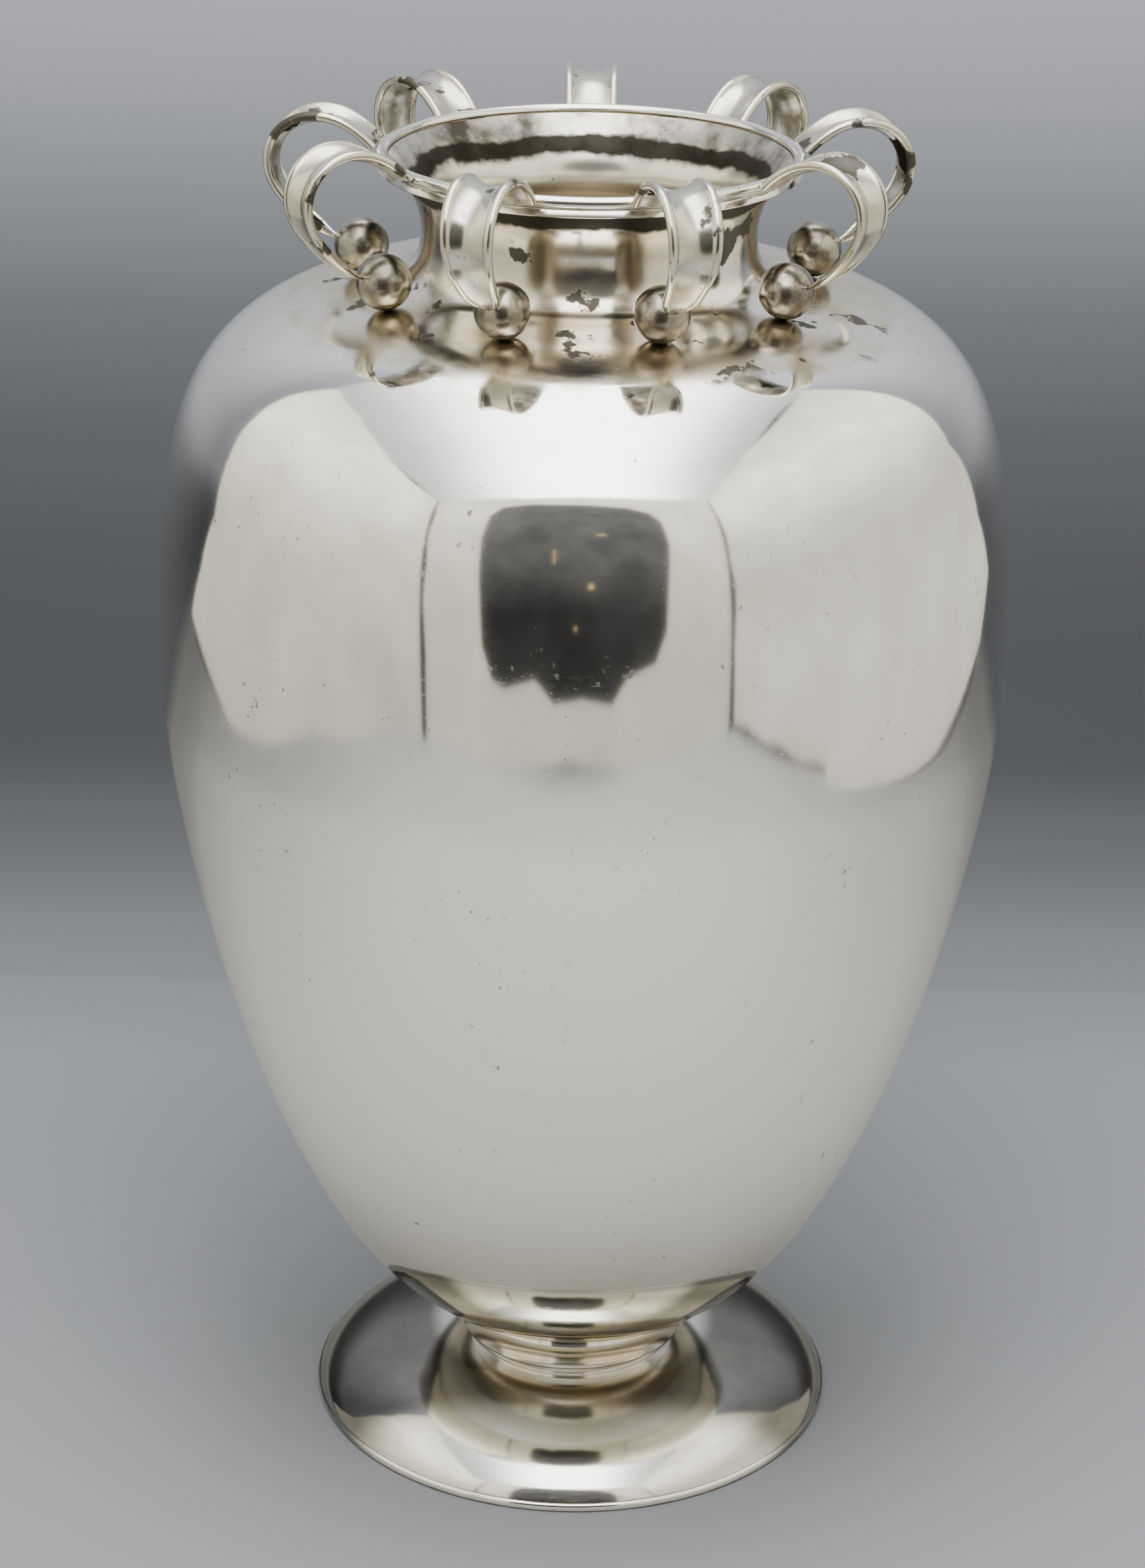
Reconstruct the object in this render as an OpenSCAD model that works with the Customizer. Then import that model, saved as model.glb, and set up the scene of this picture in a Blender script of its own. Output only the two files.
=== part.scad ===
// Silver vase: an egg-shaped body on a short waisted stem and a domed foot.
// A ring of scroll straps springs from the rim, curls outwards and comes
// back to rest on small balls that stand on the shoulder.
// The foot stands on z = 0 and is centred on the origin. Lengths are in mm.

/* [What to show] */
// Sub-part to draw, or all; also scroll_strap_1 to scroll_strap_9 and scroll_ball_1 to 9

/* [Foot] */
// Diameter of the foot where it stands
foot_d = 140; // [126:0.5:160]
// Height of the domed foot above the table
foot_h = 19.2; // [15:0.1:26]
// Thickness of the foot's sheet
foot_wall = 1.4; // [0.8:0.1:2.4]
// Height of the wire that edges the foot
edge_wire_h = 2.5; // [1.5:0.1:4]
// Width of the wire that edges the foot
edge_wire_w = 2.6; // [2:0.1:4]
// How far the foot's sheet is set in from the wire's outside
edge_step = 0.85; // [0.4:0.05:1.2]

/* [Stem] */
// Height of the stem
stem_h = 10; // [7:0.1:18]
// Diameter of the stem where it meets the body
stem_top_d = 56.8; // [50:0.1:64]
// Diameter of the stem at its waist
stem_waist_d = 46.9; // [38:0.1:49]
// Diameter of the stem where it meets the foot
stem_base_d = 60.2; // [52:0.1:70]
// Least thickness of the stem's wall, at the waist
stem_wall = 1.6; // [1:0.1:4]

/* [Body] */
// Greatest diameter of the body
body_d = 214.3; // [180:0.1:250]
// Height from the body's base to its greatest diameter
belly_h = 178.4; // [140:0.1:220]
// Height from the greatest diameter to the seats of the balls
shoulder_h = 102.5; // [85:0.1:130]
// Thickness of the body's sheet
body_wall = 1.2; // [0.8:0.1:2]

/* [Neck and rim] */
// Outside diameter of the neck at its narrowest
neck_d = 82.5; // [74:0.1:88]
// Distance from the narrowest part of the neck out to the seats of the balls
seat_gap = 14.45; // [11:0.05:18]
// Height of the curve from the ball seats to the narrowest part of the neck
neck_foot_h = 13; // [10:0.1:18]
// Height of the neck's flare
flare_h = 17.5; // [14:0.1:22]
// Outside diameter of the flare at the mouth
mouth_d = 99.9; // [94:0.1:106]
// Diameter of the rim wire's section
rim_wire_d = 2.9; // [2:0.1:4]
// Height of the lip band under the rim wire
lip_band_h = 1.9; // [1.2:0.1:3]
// Thickness of the lip band
lip_band_wall = 1; // [0.6:0.1:1.2]
// How far the band's upper edge lies outside the rim wire's centre line
lip_band_step = 0.55; // [0.3:0.05:0.8]
// How much further out the band's lower edge lies than its upper edge
lip_band_flare = 0.42; // [0:0.02:0.8]

/* [Scroll straps and balls] */
// Diameter of the balls
ball_d = 13.05; // [10:0.05:15]
// Width of a strap where it leaves the rim
strap_root_w = 13.2; // [9:0.1:17]
// Greatest width of a strap
strap_w = 13.6; // [10:0.1:18]
// Width of a strap half way round its curl
strap_mid_w = 11.5; // [8:0.1:14]
// Width of a strap where its curl turns back to the ball
strap_neck_w = 6.8; // [5:0.1:9]
// Width of a strap at its tip
strap_tip_w = 2.2; // [1.6:0.1:3.5]
// Thickness of a strap's sheet
strap_sheet = 1; // [0.6:0.1:1.6]
// Radius of the rounded edges of a strap
strap_edge_r = 0.9; // [0.6:0.05:1.2]
// Depth of the hollow across a strap at its widest
strap_hollow = 2.3; // [0.5:0.1:3]
// Depth of the hollow across a strap where it leaves the rim
strap_root_hollow = 0.8; // [0.1:0.1:1.5]
// Depth of the hollow across a strap at its tip
strap_tip_hollow = 0.15; // [0.1:0.05:0.4]
// Angle round the rim wire at which the straps leave it
strap_root_angle = 42; // [20:1:70]
// Angle round a ball at which its strap comes to rest
strap_tip_angle = 13; // [0:1:30]

/* [Fit] */
// Gap left for solder between pieces that touch
solder_gap = 0.1; // [0.05:0.01:0.2]

/* [Hidden] */
// Number of straps and balls round the vase
strap_count = 9;
// Turn from the front to the middle of the first strap
first_strap_angle = 20;
// How far each strap and its ball are set off from an even spacing
strap_offsets = [-2.3, -3.6, -0.1, 0, 0, 0, 2.7, 0.5, -0.5];
// Direction of travel at even steps along a strap, up from the horizontal
curl_headings = [58, 18, -22, -56, -99, -137, -150, -174];
// Places along a strap where its widths are given
width_places_share = [0, 0.27, 0.52, 0.86, 1];
// Place along a strap where it is hollowed most
hollow_place_share = 0.32;
// Largest part of a strap's width that one rounded edge takes
edge_width_share = 0.16;
// Angles of the points round a strap's rounded edge
edge_angles = [-125, -65, 0, 55, 115];
// Steps along a strap
curl_steps = 27;
// Steps across the face of a strap
face_steps = 4;
// Steps along each curved part of an outline
curve_steps = 12;
// Steps round the outside of the edge wire's section
wire_steps = 8;
// Roundness of the balls and the rim wire
$fn = 72;

// Foot's outline: share of the way out, and share of the height left
dome_shares = [
    [0, 1], [0.17, 0.979], [0.342, 0.867], [0.504, 0.75],
    [0.612, 0.673], [0.719, 0.572], [0.814, 0.43],
    [0.863, 0.358], [0.908, 0.27], [0.947, 0.17],
    [0.971, 0.107], [0.987, 0.053], [1, 0]];
// Height of the stem's waist
stem_waist_share = 0.64;
// Upper curve of the stem, from the body in to the waist
stem_top_shares = [[1, 1], [0.29, 0.98], [0, 0.7], [0, 0]];
// Lower curve of the stem, from the waist out to the foot
stem_base_shares = [[0, 1], [0.03, 0.45], [0.42, 0.1], [1, 0]];
// Lower body: share of the widening and share of the height
belly_shares = [[0, 0], [0.651, 0.0377], [1, 0.8242], [1, 1]];
// Upper body: share of the narrowing and share of the height
shoulder_shares = [[0, 0], [0, 0.5879], [-0.0082, 0.9314], [1, 1]];
// How far the shoulder's slope runs on towards the neck
shoulder_run_share = 0.7;
// Height in the neck's foot curve at which it turns upright
neck_turn_share = 0.357;
// Neck's flare: share of the widening and share of the height
flare_shares = [[0, 0], [0, 0.53], [0.55, 0.81], [1, 1]];

// Radii and levels worked out from the sizes above
foot_r = foot_d / 2;
stem_top_r = stem_top_d / 2;
stem_waist_r = stem_waist_d / 2;
stem_base_r = stem_base_d / 2;
stem_bore_r = stem_waist_r - stem_wall;
body_r = body_d / 2;
neck_r = neck_d / 2;
seat_r = neck_r + seat_gap;
mouth_r = mouth_d / 2;
rim_wire_r = rim_wire_d / 2;
ball_r = ball_d / 2;
sheet_edge_z = edge_wire_h + solder_gap;
sheet_edge_r = foot_r - edge_step;
stem_z = foot_h + solder_gap;
body_z = stem_z + stem_h + solder_gap;
belly_z = body_z + belly_h;
seat_z = belly_z + shoulder_h;
neck_z = seat_z + neck_foot_h;
mouth_z = neck_z + flare_h;

// Slope of the shoulder at the ball seats
seat_slope = atan2((1 - shoulder_shares[2][1]) * shoulder_h,
                   (1 - shoulder_shares[2][0]) * (body_r - seat_r));
// Slope of the flare at the mouth
mouth_slope = atan2((1 - flare_shares[2][1]) * flare_h,
                    (1 - flare_shares[2][0]) * (mouth_r - neck_r));
// Centre of the rim wire's section, just clear of the end of the sheet
rim_wire_centre = [mouth_r, mouth_z]
    + body_wall / 2 * [-sin(mouth_slope), cos(mouth_slope)]
    + (rim_wire_r + solder_gap) * [cos(mouth_slope), sin(mouth_slope)];
// Centre of a ball, just clear of the shoulder
ball_centre = [seat_r, seat_z]
    + (ball_r + solder_gap) * [sin(seat_slope), cos(seat_slope)];
// Ends of a strap's raised edge, just clear of the rim wire and of the ball
strap_start = rim_wire_centre
    + (rim_wire_r + solder_gap) * [cos(strap_root_angle), sin(strap_root_angle)];
strap_end = ball_centre
    + (ball_r + solder_gap) * [cos(strap_tip_angle), sin(strap_tip_angle)];

// Names of the sub-parts

// Points along one cubic curve, without its first point when joined on
function cubic(p, first) = [
    for (i = [first : curve_steps])
        let (t = i / curve_steps, u = 1 - t)
            u * u * u * p[0] + 3 * u * u * t * p[1]
            + 3 * u * t * t * p[2] + t * t * t * p[3]];

// Points along a chain of cubic curves that share their end points
function chain(p) = [
    for (k = [0 : 3 : len(p) - 4])
        for (q = cubic([p[k], p[k + 1], p[k + 2], p[k + 3]], k == 0 ? 0 : 1)) q];

// Places control points between two corners by their shares
function spread(shares, from, to) = [
    for (s = shares)
        [from[0] + s[0] * (to[0] - from[0]), from[1] + s[1] * (to[1] - from[1])]];

// Moves an outline sideways by a sheet thickness, to its left when positive
function beside(pts, d) = [
    for (i = [0 : len(pts) - 1])
        let (a = pts[max(i - 1, 0)], b = pts[min(i + 1, len(pts) - 1)],
             t = (b - a) / norm(b - a))
            pts[i] + d * [-t[1], t[0]]];

// The same list from its end to its start
function backwards(pts) = [for (i = [len(pts) - 1 : -1 : 0]) pts[i]];

// Outside of the body from its base to the mouth
function body_outline() = concat(
    cubic(spread(belly_shares, [stem_top_r, body_z], [body_r, belly_z]), 0),
    cubic(spread(shoulder_shares, [body_r, belly_z], [seat_r, seat_z]), 1),
    cubic([[seat_r, seat_z],
           [seat_r, seat_z] + shoulder_run_share * (seat_r - neck_r)
               * [-1, tan(seat_slope)],
           [neck_r, seat_z + neck_turn_share * neck_foot_h],
           [neck_r, neck_z]], 1),
    cubic(spread(flare_shares, [neck_r, neck_z], [mouth_r, mouth_z]), 1));

// Outside of the foot's dome from the stem to its edge
function dome_outline() = chain(
    spread(dome_shares, [stem_base_r, sheet_edge_z], [sheet_edge_r, foot_h]));

// Outside of the stem from the body to the foot
function stem_outline() =
    let (waist_z = stem_z + stem_waist_share * stem_h)
        concat(
            cubic(spread(stem_top_shares, [stem_waist_r, waist_z],
                         [stem_top_r, stem_z + stem_h]), 0),
            cubic(spread(stem_base_shares, [stem_waist_r, stem_z],
                         [stem_base_r, waist_z]), 1));

// Direction of travel at a share of the way along a strap
function heading(s) =
    let (k = s * (len(curl_headings) - 1), i = min(floor(k), len(curl_headings) - 2))
        curl_headings[i] + (k - i) * (curl_headings[i + 1] - curl_headings[i]);

// Raised edge of a strap one unit long, starting at nought
curl_unit = [
    for (i = 0, p = [0, 0]; i <= curl_steps;
         p = p + [cos(heading((i + 0.5) / curl_steps)),
                  sin(heading((i + 0.5) / curl_steps))] / curl_steps,
         i = i + 1)
        p];

// Size and turn that bring the unit curl onto its two seats
curl_span = strap_end - strap_start;
curl_reach = curl_unit[curl_steps];
curl_size = norm(curl_span) / norm(curl_reach);
curl_turn = atan2(curl_span[1], curl_span[0]) - atan2(curl_reach[1], curl_reach[0]);

// Width and hollow of a strap at a share of the way along it
function strap_width(s) =
    let (w = [strap_root_w, strap_w, strap_mid_w, strap_neck_w, strap_tip_w])
        lookup(s, [for (i = [0 : len(w) - 1]) [width_places_share[i], w[i]]]);
function strap_dip(s) = s < hollow_place_share
    ? strap_root_hollow + (strap_hollow - strap_root_hollow)
        * sin(90 * s / hollow_place_share)
    : strap_tip_hollow + (strap_hollow - strap_tip_hollow)
        * pow(cos(90 * (s - hollow_place_share) / (1 - hollow_place_share)), 2);

// Section of a strap: distance across it and depth below its raised edges
function strap_section(s) =
    let (w = strap_width(s), dip = strap_dip(s),
         e = min(strap_edge_r, w * edge_width_share),
         t = min(strap_sheet, e), f = w / 2 - 2 * e)
        concat(
            [for (i = [0 : face_steps]) let (v = 2 * i / face_steps - 1)
                [v * f, e - t / 2 + dip * (1 - v * v)]],
            [for (a = edge_angles) [w / 2 - e + e * cos(a), e + e * sin(a)]],
            [for (i = [0 : face_steps]) let (v = 1 - 2 * i / face_steps)
                [v * f, e + t / 2 + dip * (1 - v * v)]],
            [for (a = backwards(edge_angles)) [e - w / 2 - e * cos(a), e + e * sin(a)]]);

// A strap's section set in its place along the curl
function strap_ring(i) =
    let (s = i / curl_steps, h = heading(s) + curl_turn, c = cos(curl_turn),
         q = curl_size * curl_unit[i],
         p = strap_start + [c * q[0] - sin(curl_turn) * q[1],
                            sin(curl_turn) * q[0] + c * q[1]])
        [for (m = strap_section(s))
            [p[0] + m[1] * sin(h), m[0], p[1] - m[1] * cos(h)]];

// Turn about the axis that brings a piece from +X to its place in the ring
function ring_angle(n) =
    first_strap_angle + (n - 1) * 360 / strap_count + strap_offsets[n - 1] - 90;

// One strap in the plane of the X axis
module strap() {
    rings = [for (i = [0 : curl_steps]) strap_ring(i)];
    m = len(rings[0]);
    polyhedron(
        points = [for (r = rings) for (p = r) p],
        faces = concat(
            [[for (j = [0 : m - 1]) j]],
            [for (i = [0 : curl_steps - 1]) for (j = [0 : m - 1])
                [i * m + j, (i + 1) * m + j, (i + 1) * m + (j + 1) % m]],
            [for (i = [0 : curl_steps - 1]) for (j = [0 : m - 1])
                [i * m + j, (i + 1) * m + (j + 1) % m, i * m + (j + 1) % m]],
            [[for (j = [m - 1 : -1 : 0]) curl_steps * m + j]]),
        convexity = 6);
}

// A numbered strap in its place
module placed_strap(n) {
    rotate([0, 0, ring_angle(n)])
        strap();
}

// A numbered ball in its place
module placed_ball(n) {
    rotate([0, 0, ring_angle(n)])
        translate([ball_centre[0], 0, ball_centre[1]])
            sphere(r = ball_r);
}

// Hollow body with its shoulder and flared neck, closed at the base
module body_shell() {
    outside = body_outline();
    inside = beside(outside, body_wall);
    color("silver")
        rotate_extrude()
            polygon(concat(
                [[0, body_z]], outside, backwards(inside),
                [[0, body_z + body_wall]]));
}

// Round wire that finishes the mouth
module rim_wire() {
    color("silver")
        rotate_extrude()
            translate(rim_wire_centre)
                circle(r = rim_wire_r);
}

// Narrow band under the rim wire
module lip_band() {
    top_z = rim_wire_centre[1] - rim_wire_r - solder_gap;
    top_r = rim_wire_centre[0] + lip_band_step;
    low_r = top_r + lip_band_flare;
    color("silver")
        rotate_extrude()
            polygon([
                [top_r - lip_band_wall, top_z], [top_r, top_z],
                [low_r, top_z - lip_band_h],
                [low_r - lip_band_wall, top_z - lip_band_h]]);
}

// Waisted stem with a straight bore
module stem() {
    color("silver")
        rotate_extrude()
            polygon(concat(
                [[stem_bore_r, stem_z + stem_h]], stem_outline(),
                [[stem_bore_r, stem_z]]));
}

// Domed foot, open underneath and pierced under the stem
module foot() {
    outside = dome_outline();
    inside = [for (p = beside(outside, -foot_wall)) if (p[1] > sheet_edge_z) p];
    color("silver")
        rotate_extrude()
            polygon(concat(
                [[stem_bore_r, foot_h]], outside,
                [[sheet_edge_r - foot_wall, sheet_edge_z]], backwards(inside),
                [[stem_bore_r, foot_h - foot_wall]]));
}

// Wire that edges the foot, flat underneath
module foot_edge_wire() {
    mid_r = foot_r - edge_wire_w / 2;
    color("silver")
        rotate_extrude()
            polygon(concat(
                [[foot_r - edge_wire_w, edge_wire_h],
                 [foot_r - edge_wire_w, 0], [mid_r, 0]],
                [for (i = [0 : wire_steps]) let (a = 150 * i / wire_steps - 60)
                    [mid_r + edge_wire_w / 2 * cos(a),
                     edge_wire_h / 2 * (1 + sin(a))]]));
}

module scroll_strap_1() { color("silver") placed_strap(1); }
module scroll_strap_2() { color("silver") placed_strap(2); }
module scroll_strap_3() { color("silver") placed_strap(3); }
module scroll_strap_4() { color("silver") placed_strap(4); }
module scroll_strap_5() { color("silver") placed_strap(5); }
module scroll_strap_6() { color("silver") placed_strap(6); }
module scroll_strap_7() { color("silver") placed_strap(7); }
module scroll_strap_8() { color("silver") placed_strap(8); }
module scroll_strap_9() { color("silver") placed_strap(9); }

module scroll_ball_1() { color("silver") placed_ball(1); }
module scroll_ball_2() { color("silver") placed_ball(2); }
module scroll_ball_3() { color("silver") placed_ball(3); }
module scroll_ball_4() { color("silver") placed_ball(4); }
module scroll_ball_5() { color("silver") placed_ball(5); }
module scroll_ball_6() { color("silver") placed_ball(6); }
module scroll_ball_7() { color("silver") placed_ball(7); }
module scroll_ball_8() { color("silver") placed_ball(8); }
module scroll_ball_9() { color("silver") placed_ball(9); }

body_shell();
rim_wire();
lip_band();
stem();
foot();
foot_edge_wire();
scroll_strap_1();
scroll_strap_2();
scroll_strap_3();
scroll_strap_4();
scroll_strap_5();
scroll_strap_6();
scroll_strap_7();
scroll_strap_8();
scroll_strap_9();
scroll_ball_1();
scroll_ball_2();
scroll_ball_3();
scroll_ball_4();
scroll_ball_5();
scroll_ball_6();
scroll_ball_7();
scroll_ball_8();
scroll_ball_9();
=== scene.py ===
import math

import bmesh
import bpy
from bpy.props import FloatProperty, FloatVectorProperty, IntProperty, PointerProperty
from mathutils import Euler, Matrix


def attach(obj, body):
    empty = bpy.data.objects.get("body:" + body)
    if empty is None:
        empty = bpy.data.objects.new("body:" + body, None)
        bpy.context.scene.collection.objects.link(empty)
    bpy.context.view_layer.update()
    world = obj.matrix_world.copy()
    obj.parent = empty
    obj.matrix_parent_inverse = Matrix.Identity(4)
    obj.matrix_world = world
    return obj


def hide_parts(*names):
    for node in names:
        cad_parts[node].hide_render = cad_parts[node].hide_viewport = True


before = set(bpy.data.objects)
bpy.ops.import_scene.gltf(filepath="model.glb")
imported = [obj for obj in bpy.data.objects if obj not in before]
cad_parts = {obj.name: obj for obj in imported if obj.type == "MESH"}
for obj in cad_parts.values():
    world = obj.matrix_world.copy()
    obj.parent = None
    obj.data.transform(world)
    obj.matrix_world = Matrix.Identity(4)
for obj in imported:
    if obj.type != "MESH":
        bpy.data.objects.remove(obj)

bl_info = {
    "name": "Silver vase with scroll straps",
    "version": (1, 0, 0),
    "blender": (4, 5, 0),
    "location": "View3D > Sidebar > Vase",
    "description": "Builds a silver vase, its straps and balls, and a light tent round it",
    "category": "Object",
}

MM = 0.001
FULL_TURN = 2 * math.pi


# Curves

def cubic(p, steps, first=0):
    """Points along one cubic curve."""
    points = []
    for i in range(first, steps + 1):
        t = i / steps
        u = 1 - t
        share = (u * u * u, 3 * u * u * t, 3 * u * t * t, t * t * t)
        points.append(tuple(sum(w * q[k] for w, q in zip(share, p)) for k in (0, 1)))
    return points


def chain(p, steps):
    """Points along cubic curves that share their end points."""
    points = []
    for k in range(0, len(p) - 3, 3):
        points += cubic(p[k:k + 4], steps, 1 if points else 0)
    return points


def spread(shares, start, end):
    """Control points between two corners, given as shares of the way."""
    return [(start[0] + a * (end[0] - start[0]), start[1] + b * (end[1] - start[1]))
            for a, b in shares]


def beside(points, distance):
    """The outline moved to its left by a distance."""
    moved = []
    last = len(points) - 1
    for i, (x, y) in enumerate(points):
        a = points[max(i - 1, 0)]
        b = points[min(i + 1, last)]
        dx, dy = b[0] - a[0], b[1] - a[1]
        size = math.hypot(dx, dy)
        moved.append((x - distance * dy / size, y + distance * dx / size))
    return moved


def on_circle(centre, radius, angle):
    """A point of a circle."""
    return centre[0] + radius * math.cos(angle), centre[1] + radius * math.sin(angle)


def arc_angles(arc, steps):
    """Angles from one end of an arc to the other, in radians."""
    start, end = arc
    return [math.radians(start + (end - start) * i / steps) for i in range(steps + 1)]


def slope_at(places, values, k):
    """Slope at one of the given values, level where the values turn back."""
    sides = [(values[i + 1] - values[i]) / (places[i + 1] - places[i])
             for i in (k - 1, k) if 0 <= i < len(places) - 1]
    if len(sides) == 1:
        return sides[0]
    before, after = sides
    return 0 if before * after <= 0 else 2 * before * after / (before + after)


def smooth_between(places, values, s):
    """A value at s that eases through the given values."""
    i = 0
    while i < len(places) - 2 and s > places[i + 1]:
        i += 1
    run = places[i + 1] - places[i]
    t = (s - places[i]) / run
    t2, t3 = t * t, t * t * t
    return ((2 * t3 - 3 * t2 + 1) * values[i]
            + (t3 - 2 * t2 + t) * run * slope_at(places, values, i)
            + (3 * t2 - 2 * t3) * values[i + 1]
            + (t3 - t2) * run * slope_at(places, values, i + 1))


# Sizes of the vase, in millimetres and degrees. They are those of the solids,
# but the straps and the balls follow the photograph a little closer.

FOOT_R = 70.0
FOOT_H = 19.2
FOOT_WALL = 1.4
EDGE_WIRE_H = 2.5
EDGE_WIRE_W = 2.6
EDGE_WIRE_ARC = (-60, 90)
SHEET_EDGE_Z = 2.6
SHEET_EDGE_R = 69.15
STEM_Z = 19.3
STEM_H = 10.0
STEM_TOP_R = 28.4
STEM_WAIST_R = 23.45
STEM_BASE_R = 30.1
STEM_BORE_R = 21.85
BODY_Z = 29.4
BODY_R = 107.15
BODY_WALL = 1.2
BELLY_Z = 207.8
SEAT_R = 55.7
SEAT_Z = 310.3
NECK_R = 41.25
NECK_Z = 323.3
MOUTH_R = 49.95
MOUTH_Z = 340.8
RIM_WIRE_R = 1.45
LIP_BAND_H = 1.9
LIP_BAND_W = 1.0
LIP_BAND_OUT = 0.55
LIP_BAND_FLARE = 0.42
LIP_BAND_EASE = 0.25
SOLDER_GAP = 0.1
BALL_R = 6.8
STRAP_COUNT = 9
FRONT_ANGLE = -90.0
FIRST_STRAP_ANGLE = 20.0
STRAP_OFFSETS = (-2.3, -3.6, -0.1, 0, 0, 0, 2.7, 0.5, -0.5)

DOME_SHARES = (
    (0, 1), (0.17, 0.979), (0.342, 0.867), (0.504, 0.75),
    (0.612, 0.673), (0.719, 0.572), (0.814, 0.43),
    (0.863, 0.358), (0.908, 0.27), (0.947, 0.17),
    (0.971, 0.107), (0.987, 0.053), (1, 0))
STEM_TOP_SHARES = ((1, 1), (0.29, 0.98), (0, 0.7), (0, 0))
STEM_BASE_SHARES = ((0, 1), (0.03, 0.45), (0.42, 0.1), (1, 0))
STEM_WAIST_SHARE = 0.64
BELLY_SHARES = ((0, 0), (0.651, 0.0377), (1, 0.8242), (1, 1))
SHOULDER_SHARES = ((0, 0), (0, 0.5879), (-0.0082, 0.9314), (1, 1))
SHOULDER_RUN_SHARE = 0.7
NECK_TURN_SHARE = 0.357
FLARE_SHARES = ((0, 0), (0, 0.53), (0.55, 0.81), (1, 1))

CURL_HEADINGS = (36, 16, -16, -56, -100, -137, -150, -174)
WIDTH_PLACES = (0, 0.27, 0.52, 0.86, 1)
STRAP_WIDTHS = (13.4, 14.0, 13.2, 9.4, 2.6)
STRAP_SHEET = 1.3
STRAP_EDGE_R = 1.1
STRAP_ROOT_HOLLOW = 0.8
STRAP_HOLLOW = 2.0
STRAP_TIP_HOLLOW = 0.15
HOLLOW_PLACE = 0.32
EDGE_WIDTH_SHARE = 0.16
STRAP_EDGE_ARC = (-128, 116)
STRAP_FACE_INSET_SHARE = 1.75
STRAP_ROOT_ANGLE = 42.0
STRAP_TIP_ANGLE = 13.0

SEAT_SLOPE = math.atan2((1 - SHOULDER_SHARES[2][1]) * (SEAT_Z - BELLY_Z),
                        (1 - SHOULDER_SHARES[2][0]) * (BODY_R - SEAT_R))
MOUTH_SLOPE = math.atan2((1 - FLARE_SHARES[2][1]) * (MOUTH_Z - NECK_Z),
                         (1 - FLARE_SHARES[2][0]) * (MOUTH_R - NECK_R))
RIM_CENTRE = (
    MOUTH_R - BODY_WALL / 2 * math.sin(MOUTH_SLOPE)
    + (RIM_WIRE_R + SOLDER_GAP) * math.cos(MOUTH_SLOPE),
    MOUTH_Z + BODY_WALL / 2 * math.cos(MOUTH_SLOPE)
    + (RIM_WIRE_R + SOLDER_GAP) * math.sin(MOUTH_SLOPE))
BALL_CENTRE = (SEAT_R + (BALL_R + SOLDER_GAP) * math.sin(SEAT_SLOPE),
               SEAT_Z + (BALL_R + SOLDER_GAP) * math.cos(SEAT_SLOPE))

# Faces of the small pieces

RIM_WIRE_STEPS = 24
EDGE_WIRE_STEPS = 16
STRAP_FACE_STEPS = 12
STRAP_EDGE_STEPS = 9
STRAP_RING = 2 * (STRAP_FACE_STEPS + 1) + 2 * (STRAP_EDGE_STEPS + 1)
BALL_ROWS = 32
BALL_COLUMNS = 56

# An edge past this angle is a real corner, and a point this near the axis is on it

CORNER_ANGLE = 38
ON_AXIS = 1e-7

# Colours of the wear and of the painted shade that every piece shares

STAIN_COLOUR = (0.58, 0.54, 0.41, 1)
SIDE_SHADE_COLOUR = (0.15, 0.15, 0.155, 1)
GRIME_AND_SHADE_COLOUR = (0.026, 0.021, 0.015, 1)

# How much brighter the tent's cloth glows than its written tones, and the lamp

STUDIO_GAIN = 1.25
LAMP_STRENGTH = 13.0

# Shares of the paper's tone that it gives back and that it glows with, on the table
# and from the height at which it is raised

FLOOR_BACK = 0.88
FLOOR_GLOW = 0.02
RAISED_BACK = 0.52
RAISED_GLOW = 0.80
RAISED_Z = 0.10


# Meshes

def linked(name, data):
    """A new object, linked to the scene."""
    obj = bpy.data.objects.new(name, data)
    bpy.context.scene.collection.objects.link(obj)
    return obj


def new_mesh(name, verts, faces):
    """A mesh of the given points and faces."""
    mesh = bpy.data.meshes.new(name)
    mesh.from_pydata(verts, [], faces)
    mesh.validate()
    return mesh


def add_object(name, mesh, material, inner=None, inner_faces=()):
    """A mesh linked to the scene, smooth but for its real corners."""
    obj = linked(name, mesh)
    mesh.materials.clear()
    mesh.materials.append(material)
    bm = bmesh.new()
    bm.from_mesh(mesh)
    bmesh.ops.recalc_face_normals(bm, faces=bm.faces)
    for face in bm.faces:
        face.smooth = True
    for edge in bm.edges:
        edge.smooth = edge.calc_face_angle(0) < math.radians(CORNER_ANGLE)
    bm.to_mesh(mesh)
    bm.free()
    if inner:
        mesh.materials.append(inner)
        for i in inner_faces:
            mesh.polygons[i].material_index = 1
    mesh.update()
    return obj


def turned_mesh(name, section, steps):
    """A closed section, in millimetres, turned about the upright axis."""
    points = [(x * MM, z * MM) for x, z in section]
    rings = []
    verts = []
    for x, z in points:
        if x < ON_AXIS:
            rings.append([len(verts)] * steps)
            verts.append((0, 0, z))
        else:
            rings.append(list(range(len(verts), len(verts) + steps)))
            for i in range(steps):
                a = FULL_TURN * i / steps
                verts.append((x * math.cos(a), x * math.sin(a), z))
    faces = []
    count = len(rings)
    for k in range(count):
        low, high = rings[k], rings[(k + 1) % count]
        if low[0] == low[1] and high[0] == high[1]:
            continue
        for i in range(steps):
            j = (i + 1) % steps
            corners = []
            for v in (low[i], low[j], high[j], high[i]):
                if v not in corners:
                    corners.append(v)
            faces.append(corners)
    return new_mesh(name, verts, faces)


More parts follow.
